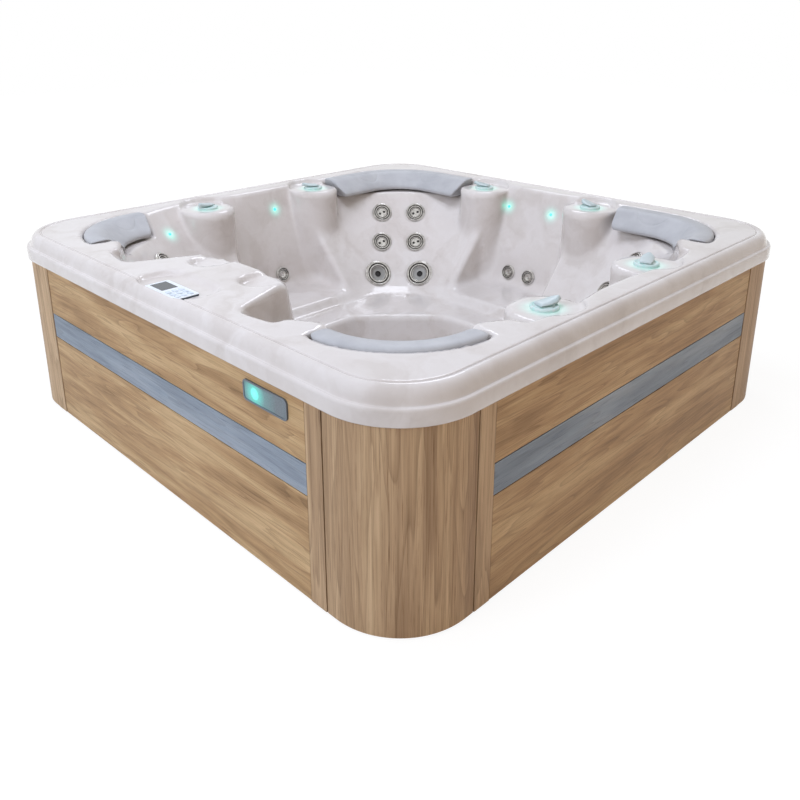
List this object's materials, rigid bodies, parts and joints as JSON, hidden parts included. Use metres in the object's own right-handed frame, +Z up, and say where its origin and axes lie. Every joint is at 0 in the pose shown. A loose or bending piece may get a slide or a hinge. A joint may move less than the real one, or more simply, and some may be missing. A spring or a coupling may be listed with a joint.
{
  "type": "hot tub",
  "caption": "Square hot tub: acrylic shell with corner seats, footwell, jets, head pillows, valve levers and control panel in a boarded cabinet with curved corners.",
  "frame": {"origin": "On the floor, under the middle of the tub.", "axes": "+Z up; -Y is the front, with the control panel; +X is the right side seen from the front."},
  "size_m": [2.202, 2.202, 0.7076],
  "materials": {
    "acrylic": "glossy pearl acrylic with a faint marble swirl",
    "pan_plastic": "black moulded base",
    "machine_plastic": "black moulded casing",
    "wood_board": "light oak board, satin",
    "filter_paper": "pleated filter fabric",
    "timber": "sawn softwood",
    "heater_steel": "stainless tube",
    "jet_plastic": "grey moulded jet body",
    "jet_steel": "stainless jet face, turned rings",
    "lever_cap": "pale grey lever",
    "lit_lens": "translucent lens lit teal",
    "marker_frame": "grey frame",
    "display_glass": "dark display window",
    "panel_frame": "dark moulded frame",
    "panel_key": "white key",
    "pillow_foam": "moulded foam with a smooth grey skin",
    "pipe_plastic": "white rigid pipe",
    "machine_metal": "painted motor",
    "grey_board": "blue-grey limed board, satin"
  },
  "bodies": {
    "tub": {"acrylic_shell": "acrylic", "base_pan": "pan_plastic", "cable_gland": "machine_plastic", "control_box": "machine_plastic", "corner_panel_back_left": "wood_board", "corner_panel_back_right": "wood_board", "corner_panel_front_left": "wood_board", "corner_panel_front_right": "wood_board", "drain_valve": "machine_plastic", "filter_canister": "machine_plastic", "filter_cartridge": "filter_paper", "frame_rails": "timber", "frame_uprights": "timber", "front_lower_board": "wood_board", "front_upper_board": "wood_board", "heater_tube": "heater_steel", "jet_bodies": "jet_plastic", "lever_bases": "lit_lens", "light_lenses": "lit_lens", "marker_housing": "marker_frame", "marker_lens": "lit_lens", "panel_display": "display_glass", "panel_housing": "panel_frame", "pillow_back_left": "pillow_foam", "pillow_back_right": "pillow_foam", "pillow_front_left": "pillow_foam", "pillow_front_right": "pillow_foam", "plumbing": "pipe_plastic", "pump_motor": "machine_metal", "pump_wet_end": "machine_plastic", "side_lower_boards": "wood_board", "side_upper_boards": "wood_board", "stripe_boards": "grey_board", "suction_covers": "jet_plastic", "trim_strips": "wood_board"},
    "lever_right_front": {"lever_right_front": "lever_cap"},
    "lever_right_back": {"lever_right_back": "lever_cap"},
    "lever_back_right": {"lever_back_right": "lever_cap"},
    "lever_back_left": {"lever_back_left": "lever_cap"},
    "lever_left_back": {"lever_left_back": "lever_cap"},
    "lever_left_front": {"lever_left_front": "lever_cap"},
    "jet_upper_left": {"jet_upper_left": "jet_steel"},
    "jet_upper_right": {"jet_upper_right": "jet_steel"},
    "jet_lower_left": {"jet_lower_left": "jet_steel"},
    "jet_lower_right": {"jet_lower_right": "jet_steel"},
    "jet_large_left": {"jet_large_left": "jet_steel"},
    "jet_large_right": {"jet_large_right": "jet_steel"},
    "jet_small_back_left": {"jet_small_back_left": "jet_steel"},
    "jet_small_back_right": {"jet_small_back_right": "jet_steel"},
    "jet_small_side": {"jet_small_side": "jet_steel"},
    "panel_key_1": {"panel_key_1": "panel_key"},
    "panel_key_2": {"panel_key_2": "panel_key"},
    "panel_key_3": {"panel_key_3": "panel_key"},
    "panel_key_4": {"panel_key_4": "panel_key"},
    "panel_key_5": {"panel_key_5": "panel_key"},
    "panel_key_6": {"panel_key_6": "panel_key"},
    "panel_key_7": {"panel_key_7": "panel_key"},
    "panel_key_8": {"panel_key_8": "panel_key"},
    "panel_key_9": {"panel_key_9": "panel_key"}
  },
  "joints": [
    {"name": "lever_right_front_turn", "type": "hinge", "parent": "tub", "child": "lever_right_front", "pos_m": [0.905, -0.302, 0.681], "axis": [0, 0, 1], "range_deg": [-90, 90]},
    {"name": "lever_right_back_turn", "type": "hinge", "parent": "tub", "child": "lever_right_back", "pos_m": [0.905, 0.302, 0.681], "axis": [0, 0, 1], "range_deg": [-90, 90]},
    {"name": "lever_back_right_turn", "type": "hinge", "parent": "tub", "child": "lever_back_right", "pos_m": [0.302, 0.905, 0.681], "axis": [0, 0, 1], "range_deg": [-90, 90]},
    {"name": "lever_back_left_turn", "type": "hinge", "parent": "tub", "child": "lever_back_left", "pos_m": [-0.302, 0.905, 0.681], "axis": [0, 0, 1], "range_deg": [-90, 90]},
    {"name": "lever_left_back_turn", "type": "hinge", "parent": "tub", "child": "lever_left_back", "pos_m": [-0.905, 0.302, 0.681], "axis": [0, 0, 1], "range_deg": [-90, 90]},
    {"name": "lever_left_front_turn", "type": "hinge", "parent": "tub", "child": "lever_left_front", "pos_m": [-0.905, -0.302, 0.681], "axis": [0, 0, 1], "range_deg": [-90, 90]},
    {"name": "jet_upper_left_turn", "type": "hinge", "parent": "tub", "child": "jet_upper_left", "pos_m": [-0.74479, 0.62316, 0.519], "axis": [0.6918, -0.4904, 0.5299], "range_deg": [0, 90]},
    {"name": "jet_upper_right_turn", "type": "hinge", "parent": "tub", "child": "jet_upper_right", "pos_m": [-0.62316, 0.74479, 0.519], "axis": [0.4904, -0.6918, 0.5299], "range_deg": [0, 90]},
    {"name": "jet_lower_left_turn", "type": "hinge", "parent": "tub", "child": "jet_lower_left", "pos_m": [-0.66803, 0.54641, 0.392], "axis": [0.7132, -0.4588, 0.5299], "range_deg": [0, 90]},
    {"name": "jet_lower_right_turn", "type": "hinge", "parent": "tub", "child": "jet_lower_right", "pos_m": [-0.54641, 0.66803, 0.392], "axis": [0.4588, -0.7132, 0.5299], "range_deg": [0, 90]},
    {"name": "jet_large_left_turn", "type": "hinge", "parent": "tub", "child": "jet_large_left", "pos_m": [-0.59591, 0.45166, 0.262], "axis": [0.7694, -0.3567, 0.5299], "range_deg": [0, 90]},
    {"name": "jet_large_right_turn", "type": "hinge", "parent": "tub", "child": "jet_large_right", "pos_m": [-0.45166, 0.59591, 0.262], "axis": [0.3567, -0.7694, 0.5299], "range_deg": [0, 90]},
    {"name": "jet_small_back_left_turn", "type": "hinge", "parent": "tub", "child": "jet_small_back_left", "pos_m": [-0.085, 0.84033, 0.296], "axis": [0, -0.9659, 0.2588], "range_deg": [0, 90]},
    {"name": "jet_small_back_right_turn", "type": "hinge", "parent": "tub", "child": "jet_small_back_right", "pos_m": [0.033, 0.84033, 0.296], "axis": [0, -0.9659, 0.2588], "range_deg": [0, 90]},
    {"name": "jet_small_side_turn", "type": "hinge", "parent": "tub", "child": "jet_small_side", "pos_m": [-0.84033, 0.044, 0.296], "axis": [0.9659, 0, 0.2588], "range_deg": [0, 90]},
    {"name": "panel_key_1_press", "type": "slide", "parent": "tub", "child": "panel_key_1", "axis": [0, 0, -1], "range_m": [0, 0.001], "stiffness_N_per_m": 800},
    {"name": "panel_key_2_press", "type": "slide", "parent": "tub", "child": "panel_key_2", "axis": [0, 0, -1], "range_m": [0, 0.001], "stiffness_N_per_m": 800},
    {"name": "panel_key_3_press", "type": "slide", "parent": "tub", "child": "panel_key_3", "axis": [0, 0, -1], "range_m": [0, 0.001], "stiffness_N_per_m": 800},
    {"name": "panel_key_4_press", "type": "slide", "parent": "tub", "child": "panel_key_4", "axis": [0, 0, -1], "range_m": [0, 0.001], "stiffness_N_per_m": 800},
    {"name": "panel_key_5_press", "type": "slide", "parent": "tub", "child": "panel_key_5", "axis": [0, 0, -1], "range_m": [0, 0.001], "stiffness_N_per_m": 800},
    {"name": "panel_key_6_press", "type": "slide", "parent": "tub", "child": "panel_key_6", "axis": [0, 0, -1], "range_m": [0, 0.001], "stiffness_N_per_m": 800},
    {"name": "panel_key_7_press", "type": "slide", "parent": "tub", "child": "panel_key_7", "axis": [0, 0, -1], "range_m": [0, 0.001], "stiffness_N_per_m": 800},
    {"name": "panel_key_8_press", "type": "slide", "parent": "tub", "child": "panel_key_8", "axis": [0, 0, -1], "range_m": [0, 0.001], "stiffness_N_per_m": 800},
    {"name": "panel_key_9_press", "type": "slide", "parent": "tub", "child": "panel_key_9", "axis": [0, 0, -1], "range_m": [0, 0.001], "stiffness_N_per_m": 800}
  ]
}
